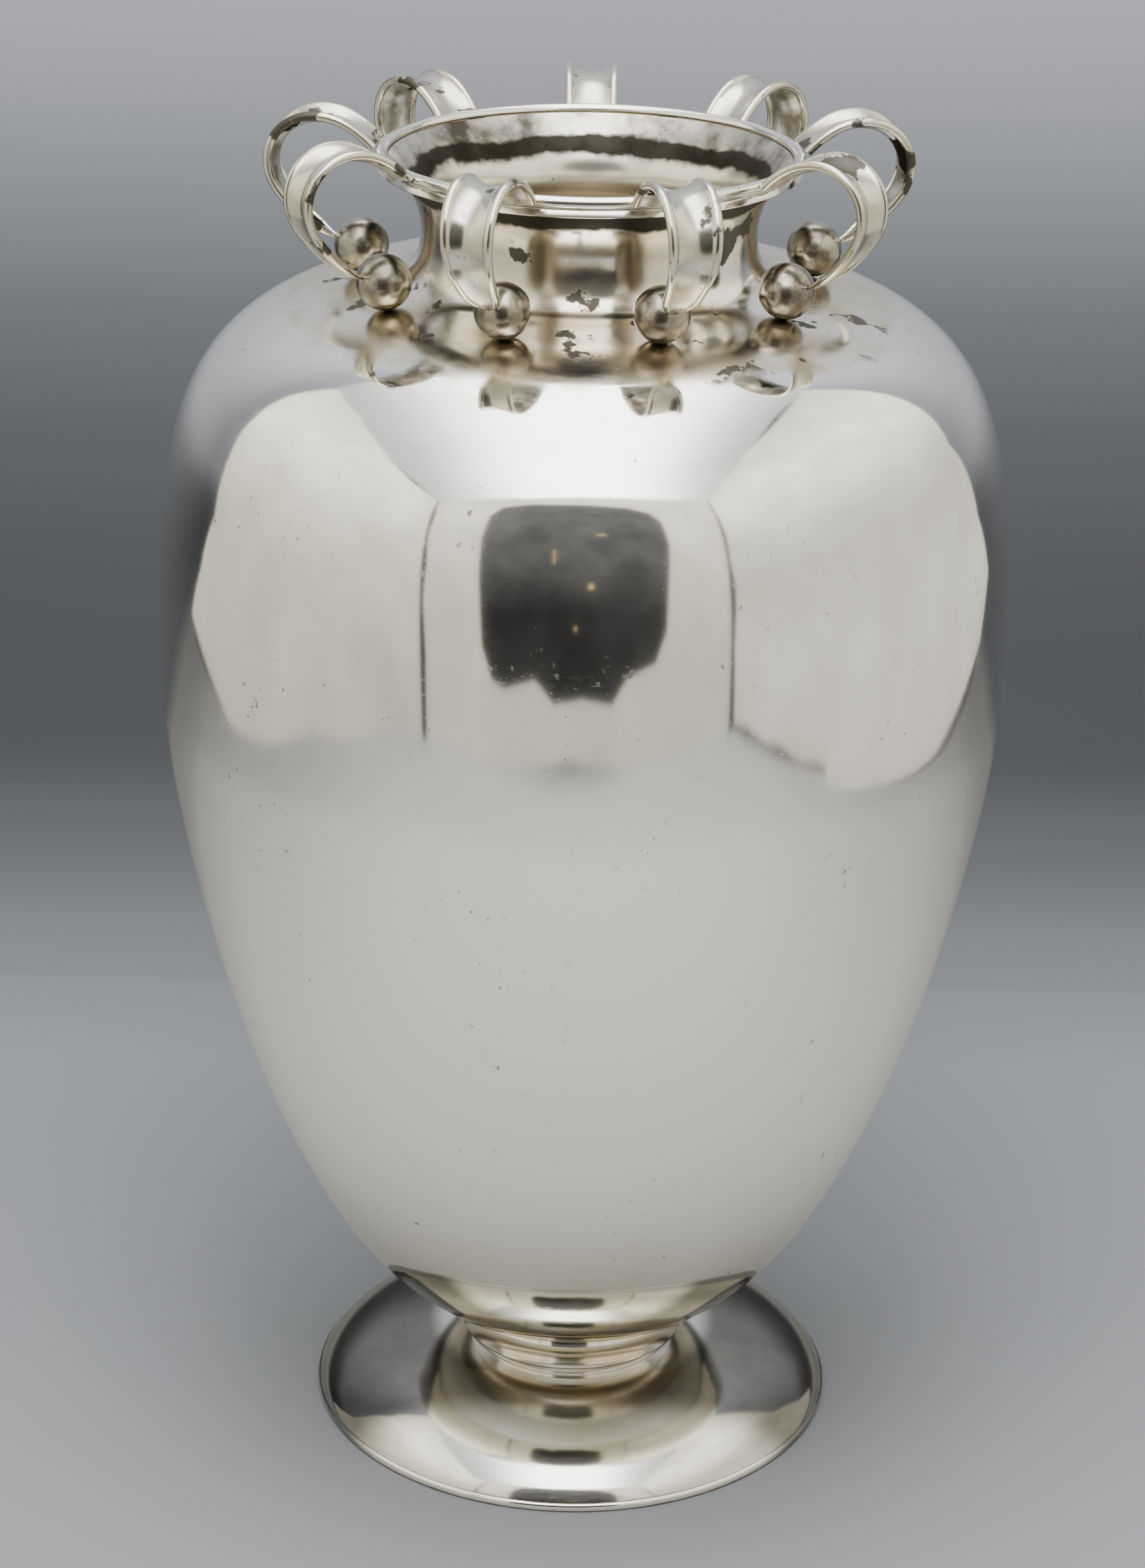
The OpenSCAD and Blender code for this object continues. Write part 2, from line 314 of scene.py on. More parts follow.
def body_outline(steps):
    """Outside of the body from its base to the mouth."""
    run = SHOULDER_RUN_SHARE * (SEAT_R - NECK_R)
    neck_foot = ((SEAT_R, SEAT_Z), (SEAT_R - run, SEAT_Z + run * math.tan(SEAT_SLOPE)),
                 (NECK_R, SEAT_Z + NECK_TURN_SHARE * (NECK_Z - SEAT_Z)), (NECK_R, NECK_Z))
    return (cubic(spread(BELLY_SHARES, (STEM_TOP_R, BODY_Z), (BODY_R, BELLY_Z)), steps)
            + cubic(spread(SHOULDER_SHARES, (BODY_R, BELLY_Z), (SEAT_R, SEAT_Z)), steps, 1)
            + cubic(neck_foot, steps // 2, 1)
            + cubic(spread(FLARE_SHARES, (NECK_R, NECK_Z), (MOUTH_R, MOUTH_Z)),
                    steps // 2, 1))


def body_section(steps):
    """Closed section of the hollow body."""
    outside = body_outline(steps)
    inside = beside(outside, BODY_WALL)
    return [(0, BODY_Z)] + outside + inside[::-1] + [(0, BODY_Z + BODY_WALL)]


def foot_section(steps):
    """Closed section of the domed foot."""
    outside = chain(spread(DOME_SHARES, (STEM_BASE_R, SHEET_EDGE_Z),
                           (SHEET_EDGE_R, FOOT_H)), steps)
    inside = [p for p in beside(outside, -FOOT_WALL) if p[1] > SHEET_EDGE_Z]
    return ([(STEM_BORE_R, FOOT_H)] + outside
            + [(SHEET_EDGE_R - FOOT_WALL, SHEET_EDGE_Z)] + inside[::-1]
            + [(STEM_BORE_R, FOOT_H - FOOT_WALL)])


def stem_section(steps):
    """Closed section of the waisted stem."""
    waist_z = STEM_Z + STEM_WAIST_SHARE * STEM_H
    top = cubic(spread(STEM_TOP_SHARES, (STEM_WAIST_R, waist_z),
                       (STEM_TOP_R, STEM_Z + STEM_H)), steps)
    base = cubic(spread(STEM_BASE_SHARES, (STEM_WAIST_R, STEM_Z),
                        (STEM_BASE_R, waist_z)), steps, 1)
    return [(STEM_BORE_R, STEM_Z + STEM_H)] + top + base + [(STEM_BORE_R, STEM_Z)]


def edge_wire_section(steps):
    """Closed section of the wire round the foot, flat underneath."""
    mid = FOOT_R - EDGE_WIRE_W / 2
    section = [(FOOT_R - EDGE_WIRE_W, EDGE_WIRE_H), (FOOT_R - EDGE_WIRE_W, 0), (mid, 0)]
    for a in arc_angles(EDGE_WIRE_ARC, steps):
        section.append((mid + EDGE_WIRE_W / 2 * math.cos(a),
                        EDGE_WIRE_H / 2 * (1 + math.sin(a))))
    return section


def rim_wire_section(steps):
    """Round section of the rim wire."""
    return [on_circle(RIM_CENTRE, RIM_WIRE_R, FULL_TURN * i / steps)
            for i in range(steps)]


def lip_band_section():
    """Section of the lip band, its corners eased."""
    top_z = RIM_CENTRE[1] - RIM_WIRE_R - SOLDER_GAP
    low_z = top_z - LIP_BAND_H
    top_r = RIM_CENTRE[0] + LIP_BAND_OUT
    low_r = top_r + LIP_BAND_FLARE
    ease = LIP_BAND_EASE
    return [(top_r - LIP_BAND_W, top_z), (top_r - ease, top_z), (top_r, top_z - ease),
            (low_r, low_z + ease), (low_r - ease, low_z), (low_r - LIP_BAND_W, low_z)]


def heading(s):
    """Direction of travel along a strap, in degrees up from the horizontal."""
    k = s * (len(CURL_HEADINGS) - 1)
    i = min(int(k), len(CURL_HEADINGS) - 2)
    return CURL_HEADINGS[i] + (k - i) * (CURL_HEADINGS[i + 1] - CURL_HEADINGS[i])


def curl_path(steps):
    """Points and headings of a strap's raised edge, between its two seats."""
    start = on_circle(RIM_CENTRE, RIM_WIRE_R + SOLDER_GAP, math.radians(STRAP_ROOT_ANGLE))
    end = on_circle(BALL_CENTRE, BALL_R + SOLDER_GAP, math.radians(STRAP_TIP_ANGLE))
    unit = [(0, 0)]
    for i in range(steps):
        h = math.radians(heading((i + 0.5) / steps))
        unit.append((unit[-1][0] + math.cos(h) / steps, unit[-1][1] + math.sin(h) / steps))
    reach = unit[-1]
    span = (end[0] - start[0], end[1] - start[1])
    size = math.hypot(*span) / math.hypot(*reach)
    turn = math.atan2(span[1], span[0]) - math.atan2(reach[1], reach[0])
    c, s = math.cos(turn), math.sin(turn)
    points = [(start[0] + size * (c * x - s * y), start[1] + size * (s * x + c * y))
              for x, y in unit]
    headings = [math.radians(heading(i / steps)) + turn for i in range(steps + 1)]
    return points, headings


def strap_section(s):
    """Distance across a strap and depth below its raised edges."""
    width = smooth_between(WIDTH_PLACES, STRAP_WIDTHS, s)
    if s < HOLLOW_PLACE:
        dip = (STRAP_ROOT_HOLLOW + (STRAP_HOLLOW - STRAP_ROOT_HOLLOW)
               * math.sin(math.pi / 2 * s / HOLLOW_PLACE))
    else:
        ease = math.cos(math.pi / 2 * (s - HOLLOW_PLACE) / (1 - HOLLOW_PLACE))
        dip = STRAP_TIP_HOLLOW + (STRAP_HOLLOW - STRAP_TIP_HOLLOW) * ease * ease
    edge = min(STRAP_EDGE_R, width * EDGE_WIDTH_SHARE)
    sheet = min(STRAP_SHEET, edge)
    half = width / 2 - STRAP_FACE_INSET_SHARE * edge
    across = [2 * i / STRAP_FACE_STEPS - 1 for i in range(STRAP_FACE_STEPS + 1)]
    turns = arc_angles(STRAP_EDGE_ARC, STRAP_EDGE_STEPS)
    ring = [(v * half, edge - sheet / 2 + dip * (1 - v * v)) for v in across]
    ring += [(width / 2 - edge + edge * math.cos(a), edge + edge * math.sin(a))
             for a in turns]
    ring += [(v * half, edge + sheet / 2 + dip * (1 - v * v)) for v in across[::-1]]
    ring += [(edge - width / 2 - edge * math.cos(a), edge + edge * math.sin(a))
             for a in turns[::-1]]
    return ring


def strap_mesh(steps):
    """One strap in the plane of the X axis."""
    points, headings = curl_path(steps)
    verts = []
    faces = []
    size = STRAP_RING
    for i in range(steps + 1):
        h = headings[i]
        for across, depth in strap_section(i / steps):
            verts.append(((points[i][0] + depth * math.sin(h)) * MM, across * MM,
                          (points[i][1] - depth * math.cos(h)) * MM))
    for i in range(steps):
        for j in range(size):
            k = (j + 1) % size
            faces.append((i * size + j, (i + 1) * size + j,
                          (i + 1) * size + k, i * size + k))
    faces.append(tuple(range(size)))
    faces.append(tuple(steps * size + j for j in range(size - 1, -1, -1)))
    return new_mesh("strap_pattern", verts, faces)


def ball_mesh():
    """One ball, at its place above the X axis."""
    bm = bmesh.new()
    bmesh.ops.create_uvsphere(bm, u_segments=BALL_COLUMNS, v_segments=BALL_ROWS,
                              radius=BALL_R * MM)
    bmesh.ops.translate(bm, verts=bm.verts,
                        vec=(BALL_CENTRE[0] * MM, 0, BALL_CENTRE[1] * MM))
    mesh = bpy.data.meshes.new("ball_pattern")
    bm.to_mesh(mesh)
    bm.free()
    return mesh


def ring_angle(n):
    """Turn that brings piece n from the X axis to its place round the neck."""
    angle = FIRST_STRAP_ANGLE + 360 / STRAP_COUNT * n + STRAP_OFFSETS[n]
    return math.radians(angle + FRONT_ANGLE)


# Geometry nodes that set one pattern piece round the neck

def place_round_tree():
    """Node tree: turns a pattern piece about the axis to one place in the ring."""
    name = "Place round the neck"
    if name in bpy.data.node_groups:
        return bpy.data.node_groups[name]
    tree = bpy.data.node_groups.new(name, "GeometryNodeTree")
    face = tree.interface
    face.new_socket("Geometry", in_out="INPUT", socket_type="NodeSocketGeometry")
    for label, kind in (("Turn", "NodeSocketFloat"), ("Count", "NodeSocketInt"),
                        ("Material", "NodeSocketMaterial")):
        face.new_socket(label, in_out="INPUT", socket_type=kind)
    face.new_socket("Geometry", in_out="OUTPUT", socket_type="NodeSocketGeometry")
    nodes, links = tree.nodes, tree.links
    enter = nodes.new("NodeGroupInput")
    leave = nodes.new("NodeGroupOutput")
    seats = nodes.new("GeometryNodePoints")
    turn = nodes.new("ShaderNodeCombineXYZ")
    place = nodes.new("GeometryNodeInstanceOnPoints")
    real = nodes.new("GeometryNodeRealizeInstances")
    paint = nodes.new("GeometryNodeSetMaterial")
    links.new(enter.outputs["Count"], seats.inputs["Count"])
    links.new(enter.outputs["Turn"], turn.inputs["Z"])
    links.new(seats.outputs[0], place.inputs["Points"])
    links.new(enter.outputs["Geometry"], place.inputs["Instance"])
    links.new(turn.outputs[0], place.inputs["Rotation"])
    links.new(place.outputs[0], real.inputs[0])
    links.new(real.outputs[0], paint.inputs["Geometry"])
    links.new(enter.outputs["Material"], paint.inputs["Material"])
    links.new(paint.outputs[0], leave.inputs[0])
    return tree


def place_round(name, pattern, angle, material, inner=None, inner_faces=()):
    """A plain mesh object: the pattern piece turned to its place."""
    source = linked(name + "_source", pattern)
    modifier = source.modifiers.new("Place", "NODES")
    tree = place_round_tree()
    modifier.node_group = tree
    values = {"Turn": angle, "Count": 1, "Material": material}
    for item in tree.interface.items_tree:
        if item.item_type == "SOCKET" and item.in_out == "INPUT" and item.name in values:
            modifier[item.identifier] = values[item.name]
    source.update_tag()
    graph = bpy.context.evaluated_depsgraph_get()
    mesh = bpy.data.meshes.new_from_object(source.evaluated_get(graph))
    mesh.name = name
    bpy.data.objects.remove(source)
    return add_object(name, mesh, material, inner, inner_faces)


# Materials

class NodeNet:
    """Short ways to add nodes to one shader tree and join them.

    Its place is a surface point's Object coordinates, its parts their X, Y and Z.
    """

    def __init__(self, tree):
        self.nodes, self.links = tree.nodes, tree.links
        self.place = self.nodes.new("ShaderNodeTexCoord").outputs["Object"]
        split = self.nodes.new("ShaderNodeSeparateXYZ")
        self.join(self.place, split.inputs[0])
        self.parts = split.outputs

    def join(self, value, socket):
        """Link an output to a socket, or write a plain value into it."""
        if isinstance(value, bpy.types.NodeSocket):
            self.links.new(value, socket)
        else:
            socket.default_value = value

    def math(self, kind, a, b=0.0, clamp=False):
        """Result of one operation on one or two values."""
        node = self.nodes.new("ShaderNodeMath")
        node.operation = kind
        node.use_clamp = clamp
        self.join(a, node.inputs[0])
        self.join(b, node.inputs[1])
        return node.outputs[0]

    def plus(self, a, b, clamp=False):
        """Sum of two values."""
        return self.math("ADD", a, b, clamp)

    def minus(self, a, b):
        """First value less the second."""
        return self.math("SUBTRACT", a, b)

    def times(self, a, b, clamp=False):
        """Product of two values."""
        return self.math("MULTIPLY", a, b, clamp)

    def span(self, value, low, high, start=0.0, end=1.0, eased=False):
        """A value taken from one range to another."""
        node = self.nodes.new("ShaderNodeMapRange")
        if eased:
            node.interpolation_type = "SMOOTHSTEP"
        for label, number in (("Value", value), ("From Min", low), ("From Max", high),
                              ("To Min", start), ("To Max", end)):
            self.join(number, node.inputs[label])
        return node.outputs["Result"]

    def ramp(self, value, low, high):
        """A value eased from nothing to one between two limits."""
        return self.span(value, low, high, eased=True)

    def blend(self, factor, under, over):
        """One colour laid over another."""
        node = self.nodes.new("ShaderNodeMix")
        node.data_type = "RGBA"
        self.join(factor, node.inputs["Factor"])
        self.join(under, node.inputs[6])
        self.join(over, node.inputs[7])
        return node.outputs[2]

    def noise(self, scale, detail, roughness=0.5, stretch=None):
        """Clouds of noise, stretched along the axes if asked."""
        node = self.nodes.new("ShaderNodeTexNoise")
        self.join(scale, node.inputs["Scale"])
        node.inputs["Detail"].default_value = detail
        node.inputs["Roughness"].default_value = roughness
        self.join(self.scaled(stretch) if stretch else self.place, node.inputs["Vector"])
        return node.outputs["Fac"]

    def scaled(self, scale):
        """The surface's coordinates with each axis scaled."""
        mapping = self.nodes.new("ShaderNodeMapping")
        mapping.inputs["Scale"].default_value = scale
        self.join(self.place, mapping.inputs["Vector"])
        return mapping.outputs[0]

    def tones(self, value, tint, stops):
        """Tones at places along a value, in one tint, and the strength they need."""
        low, high = stops[0][0], stops[-1][0]
        top = max(1.0, max(tone for at, tone in stops) * max(tint))
        colours = self.nodes.new("ShaderNodeValToRGB")
        elements = colours.color_ramp.elements
        while len(elements) > 1:
            elements.remove(elements[-1])
        for i, (at, tone) in enumerate(stops):
            share = (at - low) / (high - low)
            element = elements[0] if i == 0 else elements.new(share)
            element.position = share
            element.color = (*(tone * c / top for c in tint), 1)
        self.join(self.span(value, low, high), colours.inputs["Fac"])
        return colours.outputs["Color"], top


def worn_silver_group():
    """Shader group: tarnish, stain, specks and scratches over the metal, with painted shade in
    the groove under the lip and on a foot's sides and back.
    """
    name = "Worn silver"
    if name in bpy.data.node_groups:
        return bpy.data.node_groups[name]
    tree = bpy.data.node_groups.new(name, "ShaderNodeTree")
    face = tree.interface
    for label, default in (
            ("Silver", (0.93, 0.915, 0.89, 1)), ("Tarnish", (0.42, 0.32, 0.19, 1)),
            ("Tarnish amount", 0.2), ("Tarnish low", 0.0), ("Tarnish high", 1.0),
            ("Base tarnish height", -1.0), ("Stain height", 0.0001),
            ("Soot height", -1.0), ("Soot width", 0.003), ("Side film", 0.0),
            ("Blotch amount", 0.0), ("Speck amount", 0.3), ("Roughness", 0.06),
            ("Film roughness", 0.12), ("Grain size", 60.0), ("Scratch depth", 0.02)):
        kind = "NodeSocketFloat" if isinstance(default, float) else "NodeSocketColor"
        socket = face.new_socket(label, in_out="INPUT", socket_type=kind)
        socket.default_value = default
    for label, kind in (("Color", "NodeSocketColor"), ("Roughness", "NodeSocketFloat"),
                        ("Normal", "NodeSocketVector")):
        face.new_socket(label, in_out="OUTPUT", socket_type=kind)
    given = tree.nodes.new("NodeGroupInput").outputs
    leave = tree.nodes.new("NodeGroupOutput")
    net = NodeNet(tree)

    # Tarnish gathers between two heights, its edges and depth broken up by clouds
    ragged = net.times(net.minus(net.noise(60.0, 4, 0.6), 0.5), 0.007)
    level = net.plus(net.parts["Z"], ragged)
    low_edge = net.ramp(level, given["Tarnish low"], net.plus(given["Tarnish low"], 0.0018))
    high_edge = net.ramp(level, net.minus(given["Tarnish high"], 0.003),
                         given["Tarnish high"])
    upper = net.times(low_edge, net.minus(1.0, high_edge))
    base_edge = net.ramp(level, net.minus(given["Base tarnish height"], 0.003),
                         given["Base tarnish height"])
    band = net.plus(upper, net.minus(1.0, base_edge), True)
    clouds = net.ramp(net.noise(given["Grain size"], 5, 0.62), 0.34, 0.66)
    cloud_mix = net.plus(net.times(clouds, 0.75), 0.25)
    tarnish = net.times(net.times(band, cloud_mix), given["Tarnish amount"], True)

    # A faint golden stain low on the piece
    stain = net.minus(1.0, net.ramp(level, net.times(given["Stain height"], 0.35),
                                    given["Stain height"]))
    uneven = net.times(net.ramp(net.noise(22.0, 4, 0.6), 0.35, 0.65), 0.5)
    stain = net.times(stain, net.plus(uneven, 0.5))

    # Painted shade fills the groove just under the lip, with ragged edges
    off = net.math("ABSOLUTE", net.minus(level, given["Soot height"]))
    groove_shade = net.minus(1.0, net.ramp(off, net.times(given["Soot width"], 0.55),
                                   given["Soot width"]))

    # Dark blotches in the film, and small specks where polish never reaches
    blotch = net.ramp(net.noise(75.0, 5, 0.55), 0.605, 0.635)
    blotch = net.times(net.times(blotch, upper), given["Blotch amount"], True)
    specks = net.ramp(net.noise(420.0, 2, 0.5), 0.68, 0.74)
    patches = net.ramp(net.noise(35.0, 3, 0.6), 0.50, 0.62)
    speck = net.times(net.times(specks, patches), given["Speck amount"], True)
    # Real specks and blotches share one near-black with the groove's painted shade
    grime_and_shade = net.math("MAXIMUM", speck, net.times(groove_shade, 0.97))
    grime_and_shade = net.math("MAXIMUM", grime_and_shade, blotch)

    # Painted shade: a dark grey away from the axis, at the sides and behind
    out = net.nodes.new("ShaderNodeVectorMath")
    out.operation = "LENGTH"
    net.join(net.scaled((1, 1, 0)), out.inputs[0])
    side_shade = net.times(net.ramp(out.outputs["Value"], 0.033, 0.040),
                     net.ramp(net.parts["Y"], -0.050, -0.036))
    side_shade = net.times(side_shade, given["Side film"])

    colour = net.blend(net.times(stain, 0.8), given["Silver"], STAIN_COLOUR)
    colour = net.blend(side_shade, colour, SIDE_SHADE_COLOUR)
    colour = net.blend(tarnish, colour, given["Tarnish"])
    colour = net.blend(grime_and_shade, colour, GRIME_AND_SHADE_COLOUR)
    net.join(colour, leave.inputs["Color"])

    # Fine hairline scratches in two directions and a faint hand-raised unevenness
    hair_a = net.ramp(net.noise(1.0, 3, 0.7, (90, 1300, 700)), 0.63, 0.69)
    hair_b = net.ramp(net.noise(1.0, 3, 0.7, (900, 70, 1100)), 0.64, 0.70)
    hair = net.plus(hair_a, hair_b, True)
    height = net.plus(net.times(hair, -0.02), net.times(net.noise(16.0, 2, 0.4), 0.6))
    crust = net.times(tarnish, net.times(net.noise(260.0, 4, 0.7), 0.10))
    bump = net.nodes.new("ShaderNodeBump")
    bump.inputs["Distance"].default_value = 0.0006
    net.join(given["Scratch depth"], bump.inputs["Strength"])
    net.join(net.plus(height, crust), bump.inputs["Height"])
    net.join(bump.outputs[0], leave.inputs["Normal"])

    rough = net.plus(given["Roughness"], net.times(net.noise(12.0, 4, 0.6), 0.04))
    rough = net.plus(rough, net.times(hair, 0.03))
    rough = net.plus(rough, net.times(tarnish, given["Film roughness"]))
    rough = net.plus(rough, net.times(grime_and_shade, 0.35), True)
    net.join(rough, leave.inputs["Roughness"])
    return tree


def new_material(name):
    """A material with nodes."""
    material = bpy.data.materials.new(name)
    material.use_nodes = True
    return material


def silver_material(name, **values):
    """Polished silver with the shared wear, at this piece's own values."""
    material = new_material(name)
    nodes, links = material.node_tree.nodes, material.node_tree.links
    shader = nodes["Principled BSDF"]
    shader.inputs["Metallic"].default_value = 1.0
    wear = nodes.new("ShaderNodeGroup")
    wear.node_tree = worn_silver_group()
    wear.location = (-320, 200)
    for label, value in values.items():
        wear.inputs[label.replace("_", " ")].default_value = value
    for label, socket in (("Color", "Base Color"), ("Roughness", "Roughness"),
                          ("Normal", "Normal")):
        links.new(wear.outputs[label], shader.inputs[socket])
    return material


def glow_material(name, colour, strength):
    """An even, lit panel of the light tent."""
    material = new_material(name)
    nodes = material.node_tree.nodes
    nodes.clear()
    glow = nodes.new("ShaderNodeEmission")
    glow.inputs["Color"].default_value = (*colour, 1)
    glow.inputs["Strength"].default_value = strength
    out = nodes.new("ShaderNodeOutputMaterial")
    material.node_tree.links.new(glow.outputs[0], out.inputs[0])
    return material


def cloth_material(name, tint, axis, stops, gain=1.0, crumple=0.10, scale=7.0,
                   scattered=0.12):
    """Lit cloth, crumpled a little, whose tone changes along one axis.

    The scattered share of its light reaches the paper; the silver mirrors all of it.
    """
    material = glow_material(name, tint, 1.0)
    net = NodeNet(material.node_tree)
    glow = net.nodes["Emission"]
    value = net.parts[axis]
    if axis == "X":
        value = net.math("ABSOLUTE", value)
    colour, top = net.tones(value, tint, stops)
    net.join(colour, glow.inputs["Color"])
    bright = top * gain * STUDIO_GAIN
    level = net.span(net.noise(scale, 4), 0.3, 0.7, bright * (1 - crumple),
                     bright * (1 + crumple))
    ray = net.nodes.new("ShaderNodeLightPath")
    share = net.span(ray.outputs["Is Diffuse Ray"], 0.0, 1.0, 1.0, scattered)
    net.join(net.times(level, share), glow.inputs["Strength"])
    return material


def paper_material():
    """Pale paper, lit unevenly, that takes the vase's shadow."""
    material = new_material("Paper sweep")
    net = NodeNet(material.node_tree)
    shader = net.nodes["Principled BSDF"]
    shader.inputs["Roughness"].default_value = 0.9
    shader.inputs["Specular IOR Level"].default_value = 0.1
    mirrored = net.nodes.new("ShaderNodeLightPath").outputs["Is Glossy Ray"]

    cool = (0.96, 1.0, 1.075)
    table, _ = net.tones(net.parts["Y"], cool, (
        (-0.5, 0.56), (-0.25, 0.46), (-0.09, 0.43), (0.04, 0.375), (0.19, 0.345),
        (0.24, 0.295), (0.295, 0.255), (0.345, 0.170), (0.41, 0.098)))
    shown, _ = net.tones(net.parts["Y"], (1.0, 0.995, 0.955), (
        (-0.65, 0.88), (-0.40, 0.81), (-0.20, 0.67), (-0.05, 0.56), (0.06, 0.50),
        (0.15, 0.41), (0.25, 0.31), (0.35, 0.21), (0.45, 0.12)))
    rise, _ = net.tones(net.parts["Z"], cool, (
        (0.0, 0.098), (0.025, 0.092), (0.05, 0.085), (0.08, 0.087), (0.115, 0.100),
        (0.16, 0.150), (0.20, 0.238), (0.25, 0.37), (0.30, 0.45), (0.45, 0.52),
        (0.6, 0.62), (0.8, 0.72)))
    upright = net.span(net.parts["Z"], 0.012, 0.025)
    tone = net.blend(upright, net.blend(mirrored, table, shown), rise)

    # Far out at the sides the paper that the silver mirrors is in the dark
    aside = net.span(net.math("ABSOLUTE", net.parts["X"]), 0.45, 1.0, 0.0, 0.45)
    tone = net.blend(net.times(aside, mirrored), tone, (0.02, 0.02, 0.02, 1))

    # Part of the tone is light that the paper gives back and part is its own glow
    given_back = net.span(net.parts["Z"], 0.0, RAISED_Z, FLOOR_BACK, RAISED_BACK)
    net.join(net.blend(given_back, (0, 0, 0, 1), tone), shader.inputs["Base Color"])
    glow = net.nodes.new("ShaderNodeEmission")
    net.join(net.span(net.parts["Z"], 0.0, RAISED_Z, FLOOR_GLOW, RAISED_GLOW),
             glow.inputs["Strength"])
    net.join(tone, glow.inputs["Color"])
    both = net.nodes.new("ShaderNodeAddShader")
    net.join(shader.outputs[0], both.inputs[0])
    net.join(glow.outputs[0], both.inputs[1])

    # Seen from behind, the raised paper lets the view through
    clear = net.nodes.new("ShaderNodeBsdfTransparent")
    facing = net.nodes.new("ShaderNodeNewGeometry")
    mix = net.nodes.new("ShaderNodeMixShader")
    net.join(facing.outputs["Backfacing"], mix.inputs["Fac"])
    net.join(both.outputs[0], mix.inputs[1])
    net.join(clear.outputs[0], mix.inputs[2])
    net.join(mix.outputs[0], net.nodes["Material Output"].inputs["Surface"])
    return material


# Settings

def colour_setting(name, description, default):
    """A colour that the panel lets the user choose."""
    return FloatVectorProperty(name=name, description=description, subtype="COLOR",
                               size=len(default), min=0, max=1, default=default)


class VaseFinish(bpy.types.PropertyGroup):
    silver: colour_setting("Silver", "Colour of clean polished silver",
                           (0.93, 0.915, 0.885, 1))
    tarnish: colour_setting("Tarnish", "Colour of the warm film in the hollows",
                            (0.72, 0.62, 0.44, 1))
    polish: FloatProperty(
        name="Polish", description="Roughness of the cleanest silver", subtype="FACTOR",
        min=0, max=0.4, default=0.05)


class VaseDetail(bpy.types.PropertyGroup):
    round_steps: IntProperty(
        name="Round steps", description="Faces round the turned pieces",
        min=48, max=256, default=192)
    curve_steps: IntProperty(
        name="Curve steps", description="Faces along each curve of an outline",
        min=8, max=48, default=36)
    strap_steps: IntProperty(
        name="Strap steps", description="Faces along a strap", min=24, max=160,
        default=84)


class VaseTent(bpy.types.PropertyGroup):
    left: colour_setting("Left wall", "Colour of the tent's left wall",
                         (0.99, 0.965, 0.80))
    front: colour_setting("Front wall", "Colour of the tent's front wall",
                          (1.0, 0.975, 0.81))
    right: colour_setting("Right wall", "Colour of the tent's right wall",
                          (1.0, 0.97, 0.83))
    ceiling: FloatProperty(
        name="Ceiling", description="Brightness of the tent's ceiling", min=0, max=3,
        default=1.0)


# Pieces

class VASE_OT_body(bpy.types.Operator):
    """Build the hollow body with its shoulder and neck"""
    bl_idname = "vase.body"
    bl_label = "Body"

    def execute(self, context):
        finish, detail = context.scene.vase_finish, context.scene.vase_detail
        # Outside, the dark band in the groove under the lip is painted shade.
        metal = silver_material(
            "Body silver", Silver=finish.silver, Tarnish=finish.tarnish,
            Tarnish_amount=0.85, Tarnish_low=0.3040, Tarnish_high=0.40,
            Base_tarnish_height=0.0335, Stain_height=0.11, Soot_height=0.3366,
            Soot_width=0.0034, Blotch_amount=0.9, Speck_amount=0.6,
            Roughness=finish.polish, Film_roughness=0.20, Grain_size=55.0,
            Scratch_depth=0.12)
        # Inside the neck, the near-black tone from 0.3315 up and the groove band are painted
        # shade under the rim.
        lining = silver_material(
            "Lining silver", Silver=(0.82, 0.77, 0.66, 1), Tarnish=(0.07, 0.062, 0.05, 1),
            Tarnish_amount=1.0, Tarnish_low=0.3315, Soot_height=0.3352, Soot_width=0.0026,
            Speck_amount=0.7, Roughness=finish.polish + 0.12, Film_roughness=0.20,
            Grain_size=70.0, Scratch_depth=0.2)
        section = body_section(detail.curve_steps)
        mesh = turned_mesh("vase_body", section, detail.round_steps)
        first_inside = len(section) // 2 * detail.round_steps
        body = add_object("vase_body", mesh, metal, lining,
                          range(first_inside, len(mesh.polygons)))
        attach(body, "root")
        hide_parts("body_shell")
        return {"FINISHED"}


class VASE_OT_rim(bpy.types.Operator):
    """Build the rim wire and the lip band under it"""
    bl_idname = "vase.rim"
    bl_label = "Rim"

    def execute(self, context):
        finish, detail = context.scene.vase_finish, context.scene.vase_detail
        metal = silver_material(
            "Rim silver", Silver=finish.silver, Tarnish=finish.tarnish,
            Tarnish_amount=0.4, Speck_amount=1.0, Roughness=finish.polish + 0.05,
            Grain_size=140.0, Scratch_depth=0.2)
        for name, section, node in (
                ("rim_bead", rim_wire_section(RIM_WIRE_STEPS), "rim_wire"),
                ("lip_ring", lip_band_section(), "lip_band")):
            ring = add_object(name, turned_mesh(name, section, detail.round_steps), metal)
            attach(ring, "root")
            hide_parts(node)
        return {"FINISHED"}


